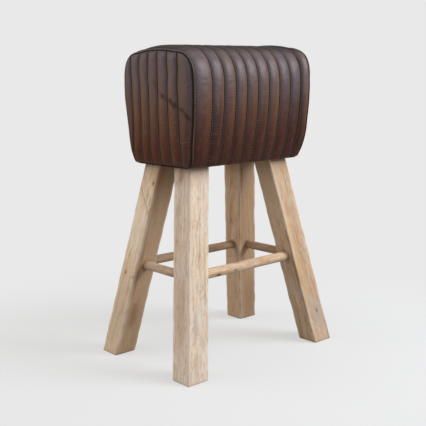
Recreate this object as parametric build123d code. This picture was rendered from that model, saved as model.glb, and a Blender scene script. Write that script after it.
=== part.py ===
from build123d import *
from math import asin, cos, degrees, radians, sin, sqrt, tan
import os

# An upright block seat of sewn leather channels on four splayed, square wooden legs.
# Millimetres. +X runs along the seat, -Y is the front long side, +Z is up, and the origin
# is on the floor under the middle of the seat.
os.makedirs("parts", exist_ok=True)

# Seat block: heights
seat_bottom = 484.0          # lowest leather, above the floor
widest_rise = 188.0          # from there to where the long sides stand out furthest
crown_rise = 280.0           # from there to the crown's seams, at mid length
end_crown_rise = 271.0       # from there to the crown of the seam round an end panel

# Seat block: plan
seam_half_length = 186.2     # from the middle to the seam round an end panel
mid_half_depth = 137.2
end_half_depth = 135.5
mid_base_half_depth = 102.5  # where the long sides would meet the underside
end_base_half_depth = 105.5
base_corner_radius = 9.0
end_fall_power = 12          # how late the crown falls away towards the ends

# Round of the upper edges, seen from the end
upper_radius_share = 1.5     # radius above the widest level, as a share of the rise above it
upper_turn = 16.0            # degrees turned by that arc
shoulder_turn = 78.0         # degrees turned where the shoulder meets the crown

# Band of leather channels, from the left end seam to the right one
band_count = 10
band_first = 51.5            # width of the channel at the left end
band_last = 28.4             # width of the channel at the right end
band_swell = 3.6             # how far a channel stands out between its seams
band_last_swell = 6.5

# End panels of upright leather channels
panel_count = 7
panel_wide = 57.0            # channel next to the front seam
panel_narrow = 34.0          # channel next to the back seam
panel_crown = 10.0           # how far its channels stand out from the end seam
panel_groove = 6.4           # how far the seams between them stand out
panel_dome = 11.6            # how far the padding below would let them stand out
panel_edge = 1.6             # thickness of the panel where it is sewn to the band
panel_edge_run = 7.0         # width of the panel's steep rim
panel_round_run = 36.0       # width over which the panel rounds off
panel_base_share = 0.25      # how much of that rounding the underside takes

leather = 2.0                # leather and backing where a channel is sewn down
lining_gap = 0.3             # ease between leather and foam
hem_side_gap = 1.2           # from the legs' outer faces to the hems of the long sides
hem_end_gap = 5.3            # from the legs' outer faces to the hems of the ends

# Piping round the end seams
piping_radius = 1.7
piping_proud = 0.5           # the piping's centre line stands this far off the leather
piping_offset = 0.9          # and this far past the seam, towards the end
piping_gap = 0.15

# Board and box inside the seat
base_board_thickness = 18.0
board_end_lap = 1.0          # the board's underside runs this far past the dust cover
board_end_slope = 5.5        # and its ends lean out this far, so that leather rolls under them
box_board = 15.0
foot_foam = 9.0              # foam beside the box where it meets the base board
end_foam = 22.0
top_foam = 72.0
glue_block = 22.0
glue_block_room = 50.0        # kept free below the glue blocks for the leg nuts

# Legs
leg_across = 60.0            # along X
leg_deep = 58.0              # along Y
leg_inset_end = 25.8         # from the end seam to the leg's outer face, under the board
leg_inset_side = 18.6        # from the base edge to the leg's outer face, under the board
leg_splay_end = 10.25        # degrees out towards the end
leg_splay_side = 10.16       # degrees out towards the side
leg_edge_round = 2.5
leg_foot_chamfer = 1.5

# Stretchers, round bars let into the legs
stretcher_level = 230.0
stretcher_radius = 10.6
front_stretcher_radius = 11.6
stretcher_seat = 16.0        # depth of the blind holes
stretcher_gap = 0.2
stretcher_end_gap = 0.3
stretcher_end_chamfer = 1.0

# Fastenings of the legs
bolt_radius = 5.0
bolt_in_leg = 45.0
bolt_over_nut = 3.0
bolt_point = 1.5
washer_radius = 13.0
washer_thickness = 2.0
nut_across_corners = 18.5
nut_height = 8.0
dowel_radius = 6.0
dowel_length = 36.0
dowel_offset = 18.0
wood_gap = 0.15              # ease round bolts, dowels and screws
hole_end_gap = 0.3

# Screws of the box
screw_radius = 2.0
screw_length = 38.0
screw_head_radius = 3.6
screw_head_height = 2.4
screw_inner_share = 0.34     # place along the half length of the box
screw_outer_share = 0.8

# Dust cover and staples
cover_thickness = 0.6
cover_lap = 7.0              # how far the cloth laps over the hems
cover_leg_gap = 1.5
staple_crown = 11.0
staple_wire = 0.9
staple_leg = 7.0
staple_gap = 0.1
staples_long = 9
staples_short = 4

overrun = 5.0                # how far a cutting shape runs past what it cuts

widest_level = seat_bottom + widest_rise
crown_level = seat_bottom + crown_rise
end_crown_level = seat_bottom + end_crown_rise
board_underside = seat_bottom + leather
board_top = board_underside + base_board_thickness
core_inset = leather + lining_gap
leg_top_x = seam_half_length - leg_inset_end - leg_across / 2
leg_top_y = mid_base_half_depth - leg_inset_side - leg_deep / 2
hem_line = leg_top_y + leg_deep / 2 + hem_side_gap
hem_end_line = leg_top_x + leg_across / 2 + hem_end_gap
reach_x = tan(radians(leg_splay_end))
reach_y = tan(radians(leg_splay_side))
band_pitch = (2 * seam_half_length - band_first - band_last) / (band_count - 2)
band_seams = [-seam_half_length]
for step in range(band_count - 1):
    band_seams.append(-seam_half_length + band_first + band_pitch * step)
band_seams.append(seam_half_length)
panel_pitch = (2 * end_half_depth - panel_wide - panel_narrow) / (panel_count - 2)
panel_seams = [-end_half_depth - overrun]
for step in range(panel_count - 1):
    panel_seams.append(-end_half_depth + panel_wide + panel_pitch * step)
panel_seams.append(end_half_depth + overrun)
corners = {
    "front_left": (-1, -1),
    "front_right": (1, -1),
    "back_left": (-1, 1),
    "back_right": (1, 1),
}


def save(shape, node):
    """Write one node of the stool."""
    shape.label = node
    export_step(shape, "parts/" + node + ".step")


def block(low, high):
    """A box between two opposite corners."""
    middle = [(a + b) / 2 for a, b in zip(low, high)]
    sides = [b - a for a, b in zip(low, high)]
    return Pos(*middle) * Box(*sides)


def post(place, radius, height):
    """An upright round bar that stands on a place."""
    return Pos(*place) * Cylinder(radius, height, align=(Align.CENTER, Align.CENTER, Align.MIN))


def blend(middle, end, x):
    """A size that goes from its value at mid length to its value at the end seam."""
    return middle + (end - middle) * (abs(x) / seam_half_length) ** end_fall_power


def arc(x, centre, radius, start, stop):
    """An arc in a plane across the seat, from one angle to another."""
    points = []
    for angle in (start, (start + stop) / 2, stop):
        turn = radians(angle)
        points.append((x, centre[0] + radius * cos(turn), centre[1] + radius * sin(turn)))
    return ThreePointArc(*points)


def mirrored(edges):
    """The same edges on the front side, in reversed order."""
    flipped = [edge.mirror(Plane.XZ) for edge in edges]
    return flipped[::-1]


def outline(x, swell=0.0, inset=0.0, base=None):
    """The seat's outline across its length at x: back half, crown and front half, and the
    straight underside last. swell pushes the sides and crown out and keeps the underside,
    inset draws the whole outline in, and base, where it is given, is the underside's level."""
    depth = blend(mid_half_depth, end_half_depth, x) + swell - inset
    crown = blend(crown_level, end_crown_level, x) + swell - inset
    base_depth = blend(mid_base_half_depth, end_base_half_depth, x) - inset
    floor_level = seat_bottom + inset if base is None else base
    corner = base_corner_radius - min(inset, base_corner_radius / 2)
    drop = widest_level - floor_level
    side_radius = ((depth - base_depth) ** 2 + drop ** 2) / (2 * (depth - base_depth))
    side_centre = (depth - side_radius, widest_level)
    corner_drop = drop - corner
    corner_reach = sqrt((side_radius - corner) ** 2 - corner_drop ** 2)
    corner_centre = (side_centre[0] + corner_reach, floor_level + corner)
    corner_angle = -degrees(asin(corner_drop / (side_radius - corner)))
    rise = crown - widest_level
    upper_radius = upper_radius_share * rise
    first, last = radians(upper_turn), radians(shoulder_turn)
    rest_rise = rise - upper_radius * sin(first)
    rest_depth = depth - upper_radius * (1 - cos(first))
    up, out = sin(last) - sin(first), cos(first) - cos(last)
    share = up * cos(last) - out * (1 - sin(last))
    shoulder_radius = (rest_rise * cos(last) - rest_depth * (1 - sin(last))) / share
    crown_radius = (up * rest_depth - out * rest_rise) / share
    shoulder_centre = (
        rest_depth - shoulder_radius * cos(first),
        crown - rest_rise - shoulder_radius * sin(first),
    )
    back = [
        arc(x, corner_centre, corner, -90, corner_angle),
        arc(x, side_centre, side_radius, corner_angle, 0),
        arc(x, (depth - upper_radius, widest_level), upper_radius, 0, upper_turn),
        arc(x, shoulder_centre, shoulder_radius, upper_turn, shoulder_turn),
    ]
    crown_arc = arc(x, (0, crown - crown_radius), crown_radius, shoulder_turn, 180 - shoulder_turn)
    underside = Line((x, -corner_centre[0], floor_level), (x, corner_centre[0], floor_level))
    return back + [crown_arc] + mirrored(back) + [underside]


def slice_face(x, **changes):
    """The face inside the seat's outline at x."""
    return make_face(Wire(outline(x, **changes)))


def side_depth(x, level):
    """Half the depth inside the leather at a level below the widest one."""
    depth = blend(mid_half_depth, end_half_depth, x)
    base_depth = blend(mid_base_half_depth, end_base_half_depth, x)
    drop = widest_level - seat_bottom
    radius = ((depth - base_depth) ** 2 + drop ** 2) / (2 * (depth - base_depth))
    return depth - radius + sqrt(radius ** 2 - (widest_level - level) ** 2) - core_inset


# Legs: compound splay, so the section stays level-sided all the way up
bolt_centres = {name: (sx * leg_top_x, sy * leg_top_y) for name, (sx, sy) in corners.items()}
dowel_centres = {
    name: (x + corners[name][0] * dowel_offset, y) for name, (x, y) in bolt_centres.items()
}


def leg_centre(name, level):
    """The middle of a leg's section at a level."""
    sx, sy = corners[name]
    below = board_underside - level
    return (sx * (leg_top_x + below * reach_x), sy * (leg_top_y + below * reach_y))


def leg_body(name):
    """One leg without its holes."""
    foot = Pos(*leg_centre(name, 0), 0) * Rectangle(leg_across, leg_deep)
    top = Pos(*leg_centre(name, board_underside), board_underside) * Rectangle(leg_across, leg_deep)
    body = loft([foot, top], ruled=True)
    long_edges = [edge for edge in body.edges() if edge.bounding_box().size.Z > leg_across]
    body = fillet(long_edges, leg_edge_round)
    return chamfer(body.faces().sort_by(Axis.Z)[0].edges(), leg_foot_chamfer)


# Stretchers: each runs level between the middles of two legs
def stretcher(first, second, radius, ease=0.0, end_ease=0.0):
    """A round bar between two legs. The eases turn it into the tool for its holes."""
    start, stop = leg_centre(first, stretcher_level), leg_centre(second, stretcher_level)
    along_x = start[1] == stop[1]
    half_leg = leg_across / 2 if along_x else leg_deep / 2
    middle = ((start[0] + stop[0]) / 2, (start[1] + stop[1]) / 2)
    span = abs(stop[0] - start[0]) + abs(stop[1] - start[1])
    length = span - 2 * (half_leg - stretcher_seat + stretcher_end_gap - end_ease)
    bar = Cylinder(radius + ease, length)
    if not ease:
        bar = chamfer(bar.edges().filter_by(GeomType.CIRCLE), stretcher_end_chamfer)
    turn = Rot(0, 90, 0) if along_x else Rot(90, 0, 0)
    return Pos(*middle, stretcher_level) * turn * bar


stretcher_ends = {
    "stretcher_front": ("front_left", "front_right", front_stretcher_radius),
    "stretcher_back": ("back_left", "back_right", stretcher_radius),
    "stretcher_left": ("front_left", "back_left", stretcher_radius),
    "stretcher_right": ("front_right", "back_right", stretcher_radius),
}
stretcher_holes = []
for node, (first, second, radius) in stretcher_ends.items():
    save(stretcher(first, second, radius), node)
    hole = stretcher(first, second, radius, stretcher_gap, stretcher_end_gap)
    stretcher_holes.append((first, second, hole))

for name in corners:
    leg = leg_body(name)
    for first, second, hole in stretcher_holes:
        if name in (first, second):
            leg -= hole
    bolt_depth = bolt_in_leg + hole_end_gap
    leg -= post((*bolt_centres[name], board_underside - bolt_depth), bolt_radius + wood_gap,
                bolt_depth + overrun)
    dowel_depth = dowel_length / 2 + hole_end_gap
    leg -= post((*dowel_centres[name], board_underside - dowel_depth), dowel_radius + wood_gap,
                dowel_depth + overrun)
    save(leg, "leg_" + name)

# Hanger bolts, washers, nuts and dowels between the legs and the base board
bolts, washers, nuts, dowels = [], [], [], []
bolt_length = bolt_in_leg + base_board_thickness + washer_thickness + nut_height + bolt_over_nut
for name in corners:
    bolt = post((*bolt_centres[name], board_underside - bolt_in_leg), bolt_radius, bolt_length)
    bolts.append(chamfer(bolt.edges().filter_by(GeomType.CIRCLE), bolt_point))
    ring_hole = post((*bolt_centres[name], board_top), bolt_radius + wood_gap, bolt_length)
    washers.append(post((*bolt_centres[name], board_top), washer_radius, washer_thickness) - ring_hole)
    nut_level = board_top + washer_thickness
    hexagon = Pos(*bolt_centres[name], nut_level) * RegularPolygon(nut_across_corners / 2, 6)
    nuts.append(extrude(hexagon, nut_height) - ring_hole)
    dowels.append(post((*dowel_centres[name], board_underside - dowel_length / 2), dowel_radius,
                       dowel_length - hole_end_gap))
save(Compound(bolts), "leg_bolts")
save(Compound(washers), "leg_washers")
save(Compound(nuts), "leg_nuts")
save(Compound(dowels), "leg_dowels")

# Room inside the leather, which the base board, the box and the foam share
core = loft([slice_face(x, inset=core_inset, base=board_underside) for x in band_seams], ruled=True)
box_half_depth = side_depth(0, board_top) - foot_foam
box_half_length = seam_half_length - end_foam
box_top = crown_level - core_inset - top_foam


def screws(level, into, ease=0.0):
    """Countersunk screws through a flat face at a level, into the boards of the box."""
    heads = []
    side_line = box_half_depth - box_board / 2
    end_line = box_half_length - box_board / 2
    for sign in (-1, 1):
        for share in (-screw_outer_share, -screw_inner_share, screw_inner_share, screw_outer_share):
            heads.append((share * box_half_length, sign * side_line))
        heads.append((sign * end_line, 0))
    made = []
    for x, y in heads:
        shank = Cylinder(screw_radius + ease, screw_length + ease,
                         align=(Align.CENTER, Align.CENTER, Align.MIN))
        head = Cone(screw_head_radius + ease, screw_radius + ease, screw_head_height,
                    align=(Align.CENTER, Align.CENTER, Align.MIN))
        flip = Rot(0, 0, 0) if into > 0 else Rot(180, 0, 0)
        made.append(Pos(x, y, level) * flip * (shank + head))
    return made


base_screws = screws(board_underside, 1)
top_screws = screws(box_top, -1)
screw_holes = screws(board_underside, 1, wood_gap) + screws(box_top, -1, wood_gap)
save(Compound(base_screws), "base_screws")
save(Compound(top_screws), "top_screws")

# Staples along the edges of the dust cover, through cloth, hem and board
cover_half_depth = hem_line + cover_lap
cover_half_length = hem_end_line + cover_lap
staple_side = cover_half_depth - cover_lap / 2
staple_end = cover_half_length - cover_lap / 2
cover_underside = seat_bottom - cover_thickness


def staple(x, y, along_x, ease=0.0):
    """One staple, or with ease the slot that it makes."""
    half = staple_crown / 2
    wire = staple_wire / 2 + ease
    top = cover_underside + staple_leg + ease
    low = cover_underside - staple_wire - ease
    crown = block((-half - ease, -wire, low), (half + ease, wire, cover_underside))
    legs = []
    for sign in (-1, 1):
        centre = sign * (half - staple_wire / 2)
        legs.append(block((centre - wire, -wire, low), (centre + wire, wire, top)))
    turn = Rot(0, 0, 0) if along_x else Rot(0, 0, 90)
    return Pos(x, y, 0) * turn * (crown + legs[0] + legs[1])


staple_places = []
for step in range(staples_long):
    along = staple_end * (2 * (step + 0.5) / staples_long - 1)
    staple_places += [(along, -staple_side, True), (along, staple_side, True)]
for step in range(staples_short):
    along = (staple_side - staple_crown) * (2 * (step + 0.5) / staples_short - 1)
    staple_places += [(-staple_end, along, False), (staple_end, along, False)]
save(Compound([staple(*place) for place in staple_places]), "staples")
slots = [(place, staple(*place, staple_gap)) for place in staple_places]

# Base board: shaped to the seat, so that the leather wraps it without padding
base_board = core & block(
    (-seam_half_length, -mid_half_depth, board_underside),
    (seam_half_length, mid_half_depth, board_top),
)
board_foot = cover_half_length + board_end_lap
for sign in (-1, 1):
    slope = Polyline(
        (sign * board_foot, 0, board_underside),
        (sign * (board_foot + board_end_slope), 0, board_top),
        (sign * (seam_half_length + overrun), 0, board_top),
        (sign * (seam_half_length + overrun), 0, board_underside),
        close=True,
    )
    base_board -= extrude(make_face(slope), mid_half_depth, dir=(0, 1, 0), both=True)
for name in corners:
    base_board -= post((*bolt_centres[name], board_underside - overrun), bolt_radius + wood_gap,
                       base_board_thickness + 2 * overrun)
    base_board -= post((*dowel_centres[name], board_underside - overrun), dowel_radius + wood_gap,
                       overrun + dowel_length / 2)
for tool in screw_holes + [slot for place, slot in slots]:
    base_board -= tool
save(base_board, "base_board")

# Box of boards on the base board, with glue blocks in its corners
board_low = box_top - box_board
box_nodes = {
    "top_board": block((-box_half_length, -box_half_depth, board_low),
                       (box_half_length, box_half_depth, box_top)),
}
for side, sign in (("front", -1), ("back", 1)):
    near, far = sorted((sign * box_half_depth, sign * (box_half_depth - box_board)))
    box_nodes["side_board_" + side] = block((-box_half_length, near, board_top),
                                            (box_half_length, far, board_low))
inner_depth = box_half_depth - box_board
for side, sign in (("left", -1), ("right", 1)):
    near, far = sorted((sign * box_half_length, sign * (box_half_length - box_board)))
    box_nodes["end_board_" + side] = block((near, -inner_depth, board_top),
                                           (far, inner_depth, board_low))
for node, board in box_nodes.items():
    for tool in screw_holes:
        board -= tool
    save(board, node)
inner_length = box_half_length - box_board
glue_blocks = []
for sx, sy in corners.values():
    x = sorted((sx * inner_length, sx * (inner_length - glue_block)))
    y = sorted((sy * inner_depth, sy * (inner_depth - glue_block)))
    glue_blocks.append(block((x[0], y[0], board_top + glue_block_room), (x[1], y[1], board_low)))
save(Compound(glue_blocks), "glue_blocks")

# Foam round the box
far_x, far_y = seam_half_length + overrun, mid_half_depth + overrun
foam_nodes = {
    "foam_top": block((-far_x, -far_y, box_top), (far_x, far_y, crown_level)),
    "foam_front": block((-box_half_length, -far_y, board_top),
                        (box_half_length, -box_half_depth, box_top)),
    "foam_back": block((-box_half_length, box_half_depth, board_top),
                       (box_half_length, far_y, box_top)),
    "foam_left": block((-far_x, -far_y, board_top), (-box_half_length, far_y, box_top)),
    "foam_right": block((box_half_length, -far_y, board_top), (far_x, far_y, box_top)),
}
for node, room in foam_nodes.items():
    save(core & room, node)


# Piping round both end seams
def piping(side, ease=0.0):
    """The piping at one end, along the seat's outline down to the hems."""
    place = side * seam_half_length
    run = outline(place, inset=-piping_proud)[:-1]
    path = Pos(side * piping_offset, 0, 0) * Wire(run)
    start = Plane(origin=path @ 0, z_dir=path % 0)
    return sweep(start * Circle(piping_radius + ease), path=path)


for side, sign in (("left", -1), ("right", 1)):
    save(piping(sign), "piping_" + side)

# Band: each channel swells between its two seams and is hollow over the foam
underside_room = block((-far_x, -hem_line, seat_bottom - overrun), (far_x, hem_line, board_underside))
for number in range(band_count):
    low, high = band_seams[number], band_seams[number + 1]
    swell = band_last_swell if number == band_count - 1 else band_swell
    skin = loft([slice_face(low), slice_face((low + high) / 2, swell=swell), slice_face(high)])
    room = loft([slice_face(x, inset=leather, base=board_underside) for x in (low, high)], ruled=True)
    channel = skin - room - underside_room
    if number == 0:
        channel -= piping(-1, piping_gap)
    if number == band_count - 1:
        channel -= piping(1, piping_gap)
    for (x, y, along_x), slot in slots:
        if low - staple_crown < x < high + staple_crown:
            channel -= slot
    save(channel, "band_channel_{:02d}".format(number + 1))


# End panels: a low dome over the seam outline, cut into upright channels
def dome(side):
    """The end panel as one closed form, thin at its rim."""
    stations = (
        (0, 0),
        (panel_edge, 0),
        (panel_groove, panel_edge_run),
        (panel_dome, panel_round_run),
    )
    faces = []
    for out, inset in stations:
        base = seat_bottom + panel_base_share * inset
        face = slice_face(side * seam_half_length, inset=inset, base=base)
        faces.append(Pos(side * out, 0, 0) * face)
    return loft(faces[:2], ruled=True) + loft(faces[1:])


for side, sign in (("left", -1), ("right", 1)):
    form = dome(sign)
    rim_tool = piping(sign, piping_gap)
    for number in range(panel_count):
        low, high = panel_seams[number], panel_seams[number + 1]
        inner, groove = sign * seam_half_length, sign * (seam_half_length + panel_groove)
        crest = sign * (seam_half_length + panel_crown)
        plan = [
            Line((inner, low), (groove, low)),
            ThreePointArc((groove, low), (crest, (low + high) / 2), (groove, high)),
            Line((groove, high), (inner, high)),
            Line((inner, high), (inner, low)),
        ]
        column = extrude(Pos(0, 0, seat_bottom - overrun) * make_face(Wire(plan)),
                         crown_level - seat_bottom + overrun, dir=(0, 0, 1))
        channel = form & column
        tongue_low, tongue_high = max(low, -hem_line), min(high, hem_line)
        if tongue_high > tongue_low:
            ends = sorted((inner, sign * hem_end_line))
            channel += block((ends[0], tongue_low, seat_bottom),
                             (ends[1], tongue_high, board_underside))
        channel -= rim_tool
        for (x, y, along_x), slot in slots:
            if x * sign > 0 and not along_x and low - staple_crown < y < high + staple_crown:
                channel -= slot
        save(channel, "{}_channel_{}".format(side, number + 1))

# Dust cover: cloth under the board, cut out round the legs
cover = block((-cover_half_length, -cover_half_depth, cover_underside),
              (cover_half_length, cover_half_depth, seat_bottom))
for name in corners:
    x, y = leg_centre(name, cover_underside)
    half_x = leg_across / 2 + cover_leg_gap
    half_y = leg_deep / 2 + cover_leg_gap
    cover -= block((x - half_x, y - half_y, cover_underside - overrun),
                   (x + half_x, y + half_y, seat_bottom + overrun))
for place, slot in slots:
    cover -= slot
save(cover, "dust_cover")
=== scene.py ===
from math import asin, atan2, cos, hypot, pi, radians, sin, sqrt
import bmesh
import bpy
from mathutils import Matrix, Vector, kdtree, noise


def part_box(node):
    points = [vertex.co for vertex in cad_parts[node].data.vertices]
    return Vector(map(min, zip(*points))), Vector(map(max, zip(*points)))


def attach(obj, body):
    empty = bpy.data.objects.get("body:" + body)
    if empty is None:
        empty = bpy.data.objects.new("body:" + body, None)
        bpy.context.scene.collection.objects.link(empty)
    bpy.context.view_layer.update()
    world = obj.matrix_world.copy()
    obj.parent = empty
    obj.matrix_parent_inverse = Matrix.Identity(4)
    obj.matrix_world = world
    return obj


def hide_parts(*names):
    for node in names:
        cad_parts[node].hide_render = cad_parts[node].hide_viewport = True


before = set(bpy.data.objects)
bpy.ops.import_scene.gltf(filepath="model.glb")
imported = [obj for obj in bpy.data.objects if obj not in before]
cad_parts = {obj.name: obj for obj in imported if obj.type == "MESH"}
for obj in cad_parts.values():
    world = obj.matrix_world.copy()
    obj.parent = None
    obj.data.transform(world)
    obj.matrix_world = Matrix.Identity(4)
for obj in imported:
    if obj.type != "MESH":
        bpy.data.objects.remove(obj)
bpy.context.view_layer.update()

# Camera
# It stands off the stool's left front corner, a little above the seat, and looks slightly
# down with a long lens.
camera = bpy.data.objects.new("camera", bpy.data.cameras.new("camera"))
bpy.context.scene.collection.objects.link(camera)
bpy.context.scene.camera = camera
camera_place = (-1.33728, -1.47736, 0.69990)
camera_yaw, camera_pitch, camera_roll = radians(41.82), radians(10.0), radians(-0.59)
camera.matrix_world = (
    Matrix.Translation(camera_place)
    @ Matrix.Rotation(-camera_yaw, 4, "Z")
    @ Matrix.Rotation(radians(90) - camera_pitch, 4, "X")
    @ Matrix.Rotation(camera_roll, 4, "Z")
)
camera.data.sensor_width = 36.0
camera.data.lens = 67.10
camera.data.clip_start, camera.data.clip_end = 0.05, 60.0

# Studio
# A pale floor that runs into a backdrop of the same grey, one broad lamp at the right of the
# camera, and even light all round.
backdrop_grey = 0.8148
room_level, room_above = 0.28, 0.88     # the room's light at eye level and from overhead
room_front, room_behind = 1.15, 0.6     # how much of it comes from each side of the stool
floor_bounce = 0.34                     # how much light the floor gives back to the stool
scene = bpy.context.scene
scene.view_settings.view_transform = "Standard"


class Nodes:
    """A node tree, with short calls for the nodes that it needs."""

    def __init__(self, tree):
        self.tree = tree

    def add(self, kind, inputs=None, **settings):
        """One node. Its inputs are numbers, colours or other nodes' outputs."""
        made = self.tree.nodes.new("ShaderNode" + kind)
        for name, value in settings.items():
            setattr(made, name, value)
        for key, value in (inputs or {}).items():
            self.set(made, key, value)
        return made

    def set(self, node, key, value):
        if isinstance(value, bpy.types.NodeSocket):
            self.tree.links.new(value, node.inputs[key])
        elif isinstance(value, (tuple, list)) and node.inputs[key].type == "RGBA":
            node.inputs[key].default_value = (*value, 1.0)
        else:
            node.inputs[key].default_value = value

    def sum(self, how, first, second=0.0, third=0.0):
        return self.add("Math", {0: first, 1: second, 2: third}, operation=how).outputs[0]

    def times(self, first, second):
        return self.sum("MULTIPLY", first, second)

    def vector(self, how, first, second=(0.0, 0.0, 0.0)):
        """Arithmetic with vectors. A length and a dot product are numbers."""
        made = self.add("VectorMath", {0: first, 1: second}, operation=how)
        return made.outputs[1 if how in ("LENGTH", "DOT_PRODUCT") else 0]

    def split(self, vector):
        return self.add("SeparateXYZ", {0: vector}).outputs

    def step(self, value, low, high, start=0.0, stop=1.0):
        """A smooth step from start to stop as value goes from low to high."""
        made = self.add("MapRange", {"Value": value, "From Min": low, "From Max": high,
                                     "To Min": start, "To Max": stop},
                        interpolation_type="SMOOTHSTEP")
        return made.outputs["Result"]


class Finish(Nodes):
    """A material, and the colour that is laid on it so far. Colours are given as they look on
    a screen, 0 to 255."""

    def __init__(self, name):
        self.material = bpy.data.materials.new(name)
        self.material.use_nodes = True
        super().__init__(self.material.node_tree)

    def place(self, attribute=None):
        """Where a point is on the piece: the object's own frame, or a named attribute."""
        if attribute:
            return self.add("Attribute", attribute_name=attribute).outputs["Vector"]
        return self.add("TexCoord").outputs["Object"]

    def value(self, attribute):
        """A number that the piece keeps at each vertex."""
        return self.add("Attribute", attribute_name=attribute).outputs["Fac"]

    def stretched(self, place, x, y, z, offset=(0.0, 0.0, 0.0)):
        made = self.add("Mapping", {"Vector": place, "Scale": (x, y, z), "Location": offset})
        return made.outputs["Vector"]

    def noise(self, place, fineness, detail=2.0, roughness=0.5, distortion=0.0,
              offset=(0.0, 0.0, 0.0)):
        """Clouds from 0 to 1, as fine along each axis as fineness says."""
        made = self.add("TexNoise", {"Vector": self.stretched(place, *fineness, offset),
                                     "Scale": 1.0, "Detail": detail, "Roughness": roughness,
                                     "Distortion": distortion})
        return made.outputs["Fac"]

    def from_line(self, place, start, stop):
        """How far a place is from a straight line between two points."""
        run = Vector(stop) - Vector(start)
        offset = self.vector("SUBTRACT", place, Vector(start))
        along = self.vector("DOT_PRODUCT", offset, run / run.length_squared)
        kept = self.add("Clamp", {"Value": along}).outputs[0]
        nearest = self.add("VectorMath", {0: run, "Scale": kept}, operation="SCALE").outputs[0]
        return self.vector("LENGTH", self.vector("SUBTRACT", offset, nearest))

    def mix(self, share, first, second):
        return self.add("Mix", {0: share, 6: first, 7: second}, data_type="RGBA").outputs[2]

    def start(self, share, first, second):
        """The first colour, with a share of the second."""
        self.colour = self.mix(share, srgb(*first), srgb(*second))

    def paint(self, share, colour):
        """Lays a share of a colour over what is there."""
        self.colour = self.mix(share, self.colour, srgb(*colour))

    def tint(self, value, low, high, start, stop, colour):
        """Lays a colour on where value says: its share goes from start to stop as value goes
        from low to high."""
        self.paint(self.step(value, low, high, start, stop), colour)

    def done(self, roughness, bump=None, specular=0.5, metallic=0.0):
        """The material with its colour and the rest. bump is height, distance and strength."""
        shader = self.tree.nodes["Principled BSDF"]
        for key, value in (("Base Color", self.colour), ("Roughness", roughness),
                           ("Specular IOR Level", specular), ("Metallic", metallic)):
            self.set(shader, key, value)
        if bump:
            made = self.add("Bump", dict(zip(("Height", "Distance", "Strength"), bump)))
            self.set(shader, "Normal", made.outputs["Normal"])
        return self.material


def srgb(*parts):
    """A colour as it looks on a screen, 0 to 255, for the shader."""
    def level(value):
        share = value / 255.0
        return share / 12.92 if share <= 0.04045 else ((share + 0.055) / 1.055) ** 2.4
    return tuple(level(part) for part in parts)


def lamp(name, place, aim, across, high, watts, colour):
    """A soft lamp, so wide across and so high, that faces a point."""
    data = bpy.data.lights.new(name, "AREA")
    data.shape, data.size, data.size_y = "RECTANGLE", across, high
    data.energy, data.color = watts, colour
    made = bpy.data.objects.new(name, data)
    made.location = place
    made.rotation_mode = "QUATERNION"
    made.rotation_quaternion = (Vector(aim) - Vector(place)).to_track_quat("-Z", "Y")
    scene.collection.objects.link(made)


seat_middle = (0.0, 0.0, 0.55)
lamp("key_lamp", (1.25, -1.65, 1.80), seat_middle, 1.2, 1.35, 56.0, (0.93, 0.965, 1.0))
lamp("fill_lamp", (-1.65, 1.25, 1.45), seat_middle, 2.2, 2.0, 20.0, (1.0, 0.96, 0.90))

# The stool is lit by a white room, but the camera sees the plain backdrop in its place.
world = bpy.data.worlds.new("room")
world.use_nodes = True
scene.world = world
room = Nodes(world.node_tree)
gaze = room.add("TexCoord").outputs["Generated"]
forwards = room.vector("DOT_PRODUCT", gaze, (sin(camera_yaw), cos(camera_yaw), 0.0))
strength = room.times(room.step(room.split(gaze)[2], 0.0, 0.9, room_level, room_above),
                      room.step(forwards, -0.9, 0.8, room_front, room_behind))
light = room.add("Background", {"Color": (1.0, 1.0, 1.0), "Strength": strength})
seen = room.tree.nodes["Background"]
room.set(seen, "Color", (backdrop_grey,) * 3)
room.set(seen, "Strength", 1.0)
eye = room.add("LightPath").outputs["Is Camera Ray"]
choice = room.add("MixShader", {0: eye, 1: light.outputs[0], 2: seen.outputs[0]})
room.set(room.tree.nodes["World Output"], "Surface", choice.outputs[0])


def new_piece(name, mesh, material=None):
    """An object for a finished mesh, linked to the scene."""
    piece = bpy.data.objects.new(name, mesh)
    scene.collection.objects.link(piece)
    if material:
        mesh.materials.append(material)
    return piece


def smooth(mesh):
    """Shades all faces of a mesh smoothly."""
    for face in mesh.polygons:
        face.use_smooth = True


def finished(bm, name):
    """The mesh of a bmesh, with its faces turned outwards."""
    bmesh.ops.recalc_face_normals(bm, faces=bm.faces[:])
    mesh = bpy.data.meshes.new(name)
    bm.to_mesh(mesh)
    bm.free()
    smooth(mesh)
    return mesh


# The camera sees paper that takes shadows near the stool and fades into the backdrop. All
# other light meets a darker floor, which gives less of it back.
floor_reach = 9.0
floor_near, floor_far = 0.45, 1.05     # the floor fades into the backdrop between these
floor_shadow_share = 0.40
floor_grey = 0.71
bm = bmesh.new()
bmesh.ops.create_grid(bm, x_segments=1, y_segments=1, size=floor_reach)
floor_finish = Finish("floor_paper")
from_middle = floor_finish.vector("LENGTH", floor_finish.place())
seen_share = floor_finish.step(from_middle, floor_near, floor_far, 1.0 - floor_shadow_share, 1.0)
eye = floor_finish.add("LightPath").outputs["Is Camera Ray"]
glow = floor_finish.add("Emission", {"Color": (backdrop_grey,) * 3, "Strength": 1.0})
paper = floor_finish.add("BsdfDiffuse", {"Color": (floor_grey,) * 3})
bounce = floor_finish.add("BsdfDiffuse", {"Color": (floor_bounce,) * 3})
seen_floor = floor_finish.add("MixShader", {0: seen_share, 1: paper.outputs[0], 2: glow.outputs[0]})
both = floor_finish.add("MixShader", {0: eye, 1: bounce.outputs[0], 2: seen_floor.outputs[0]})
floor_finish.set(floor_finish.tree.nodes["Material Output"], "Surface", both.outputs[0])
floor = new_piece("floor", finished(bm, "floor"), floor_finish.material)

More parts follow.
